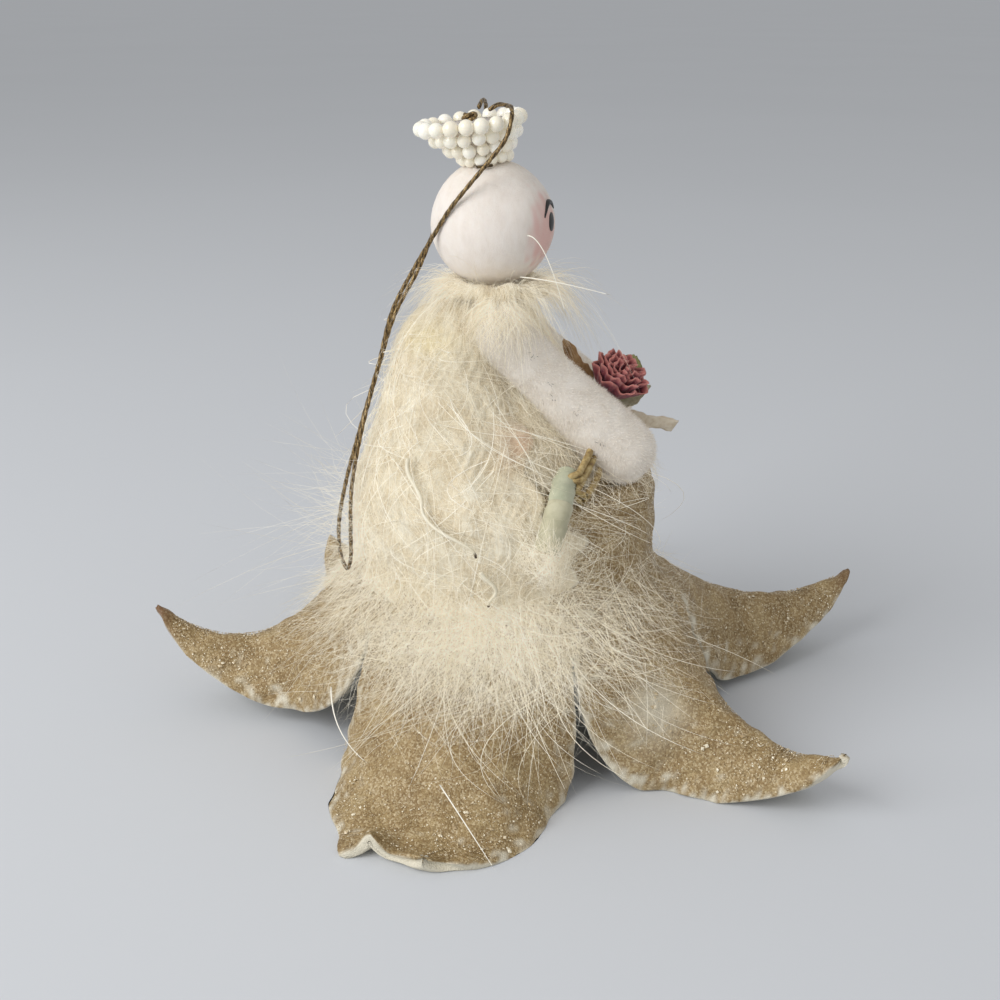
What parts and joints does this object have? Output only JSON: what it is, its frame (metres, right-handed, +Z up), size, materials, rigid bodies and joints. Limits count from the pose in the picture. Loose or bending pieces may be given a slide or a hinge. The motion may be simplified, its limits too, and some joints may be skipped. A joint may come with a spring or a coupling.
{
  "type": "angel shelf sitter",
  "caption": "Spun-cotton angel doll with a glittered lily-petal skirt, chenille arms that bend at the shoulder, a small bouquet, feather dress, pearl crown and hanging loop.",
  "frame": {"origin": "on the shelf, under the middle of the box round the figure", "axes": "+Z up; the figure faces -Y and its right side is -X"},
  "size_m": [0.1476, 0.165, 0.1304],
  "materials": {
    "glitter_skin": "tan glass glitter on pressed spun cotton",
    "spun_cotton": "matt warm white",
    "dowel_wood": "plain birch",
    "pearl": "ivory pearl",
    "metallic_cord": "twisted bronze and gold thread",
    "chenille": "white plush",
    "wire_steel": "bare soft wire",
    "straw": "dried straw",
    "mint_ribbon": "dull mint",
    "pale_ribbon": "pale green",
    "rose_paper": "dusty red ruffled cloth",
    "brown_leaf": "dry brown",
    "olive_leaf": "olive green",
    "pale_leaf": "pale green",
    "cream_ribbon": "cream",
    "marabou": "cream marabou down",
    "quill_horn": "pale horn"
  },
  "bodies": {
    "figure": {"skirt_bell": "glitter_skin", "petal_right": "glitter_skin", "petal_right_front": "glitter_skin", "petal_front": "glitter_skin", "petal_left_front": "glitter_skin", "petal_left_back": "glitter_skin", "petal_back": "glitter_skin", "torso_cone": "spun_cotton", "head_ball": "spun_cotton", "crown_core": "spun_cotton", "neck_dowel": "dowel_wood", "crown_bead_row_1": "pearl", "crown_bead_row_2": "pearl", "crown_bead_row_3": "pearl", "crown_bead_row_4": "pearl", "loop_knot": "metallic_cord", "hanging_loop": "metallic_cord", "feather_right_upper": "marabou", "feather_right_lower": "marabou", "feather_left_upper": "marabou", "feather_left_lower": "marabou", "neck_ruff": "marabou", "quill_right_upper": "quill_horn", "quill_right_lower": "quill_horn", "quill_left_upper": "quill_horn", "quill_left_lower": "quill_horn"},
    "right_arm_and_bouquet": {"right_arm": "chenille", "right_arm_wire": "wire_steel", "straw_stem_1": "straw", "straw_stem_2": "straw", "straw_stem_3": "straw", "straw_stem_4": "straw", "straw_stem_5": "straw", "mint_wrap": "mint_ribbon", "pale_wrap": "pale_ribbon", "rose_head": "rose_paper", "leaf_brown": "brown_leaf", "leaf_olive": "olive_leaf", "leaf_pale": "pale_leaf", "cream_strip": "cream_ribbon"},
    "left_arm_stem": {"left_arm": "chenille", "left_arm_wire": "wire_steel"}
  },
  "joints": [
    {"name": "right_shoulder", "type": "hinge", "parent": "figure", "child": "right_arm_and_bouquet", "pos_m": [-0.01802, 0.0043, 0.0883], "axis": [-1, 0, 0], "range_deg": [0, 25]},
    {"name": "left_shoulder", "type": "hinge", "parent": "figure", "child": "left_arm_stem", "pos_m": [0.00844, 0.0043, 0.0883], "axis": [-1, 0, 0], "range_deg": [0, 25]}
  ]
}
